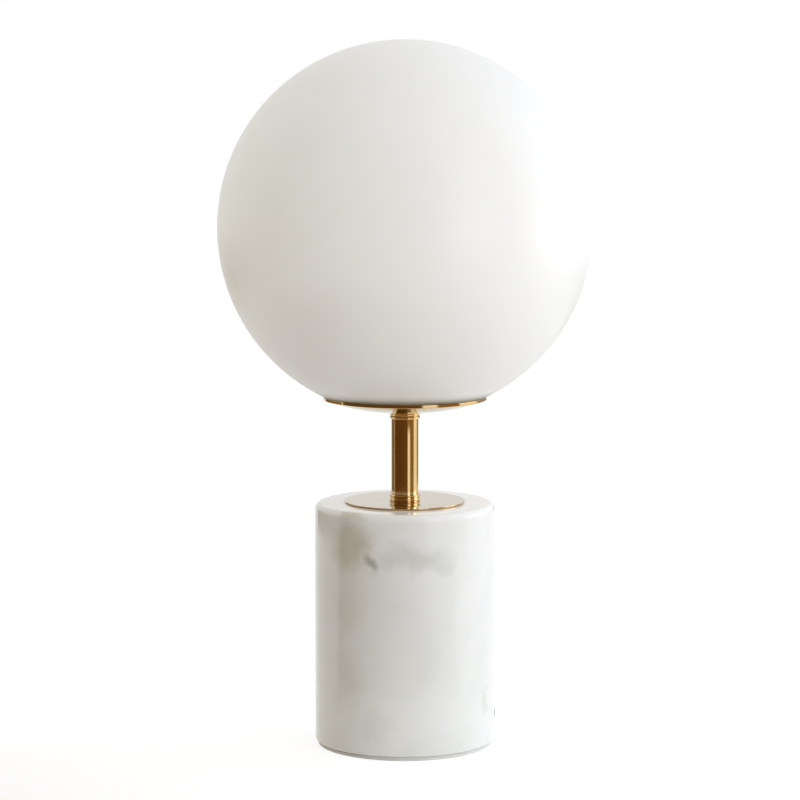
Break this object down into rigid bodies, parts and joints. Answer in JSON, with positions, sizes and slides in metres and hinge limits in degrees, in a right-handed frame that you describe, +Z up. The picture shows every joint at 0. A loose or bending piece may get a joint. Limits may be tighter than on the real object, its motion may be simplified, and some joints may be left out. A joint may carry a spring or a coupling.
{
  "type": "glass globe table lamp",
  "caption": "Table lamp with an opal glass globe on a shallow brass dish, a short brass stem with ring collars and a thin brass disc on a polished marble drum.",
  "frame": {"origin": "on the lamp's axis, at the underside of the base pad where it meets the table", "axes": "+Z up along the lamp's axis; the cord bush leaves the base 9 degrees from +X towards +Y; the picture looks along +Y"},
  "size_m": [0.2, 0.2, 0.3788],
  "materials": {
    "opal_glass": "opal glass, acid-etched to a satin skin",
    "white_marble": "polished white marble with soft grey veins",
    "aged_brass": "antique brass plate, polished under clear lacquer",
    "foam_pad": "pale non-slip foam",
    "bush_plastic": "grey moulded plastic",
    "zinc_steel": "zinc-plated steel",
    "spring_steel": "bright spring steel",
    "holder_plastic": "white moulded thermoplastic",
    "insert_ceramic": "unglazed steatite",
    "terminal_brass": "bare turned brass",
    "nickel_plate": "nickel-plated shell",
    "black_insulator": "black vitreous insulator",
    "bulb_plastic": "white heat-conducting plastic",
    "board_aluminium": "white-faced aluminium circuit board",
    "bulb_opal": "opal diffuser",
    "block_nylon": "natural nylon",
    "brown_insulation": "brown insulation",
    "blue_insulation": "blue insulation"
  },
  "bodies": {
    "stand": {"base_disc": "aged_brass", "base_lock_washer": "zinc_steel", "base_nut": "zinc_steel", "base_pad": "foam_pad", "base_washer": "zinc_steel", "block_screws": "zinc_steel", "cap_grub_screw": "zinc_steel", "centre_contact": "terminal_brass", "cord_bush": "bush_plastic", "dish_lock_washer": "zinc_steel", "dish_nut": "zinc_steel", "globe_dish": "aged_brass", "globe_spring": "spring_steel", "lampholder_body": "holder_plastic", "lampholder_cap": "holder_plastic", "lampholder_insert": "insert_ceramic", "lampholder_terminals": "terminal_brass", "live_lead": "brown_insulation", "lower_collar": "aged_brass", "marble_base": "white_marble", "neutral_lead": "blue_insulation", "screw_shell": "nickel_plate", "stem_tube": "aged_brass", "terminal_block": "block_nylon", "terminal_screws": "zinc_steel", "terminal_sleeves": "terminal_brass", "threaded_rod": "zinc_steel", "upper_collar": "aged_brass"},
    "globe": {"globe_glass": "opal_glass"},
    "bulb": {"bulb_contact": "terminal_brass", "bulb_insulator": "black_insulator", "bulb_cap": "nickel_plate", "bulb_housing": "bulb_plastic", "bulb_led_board": "board_aluminium", "bulb_diffuser": "bulb_opal"}
  },
  "joints": [
    {"name": "globe_lift", "type": "slide", "parent": "stand", "child": "globe", "axis": [0, 0, 1], "range_m": [0, 0.115]},
    {"name": "bulb_unscrew", "type": "slide", "parent": "stand", "child": "bulb", "axis": [0, 0, 1], "range_m": [0, 0.028]}
  ]
}
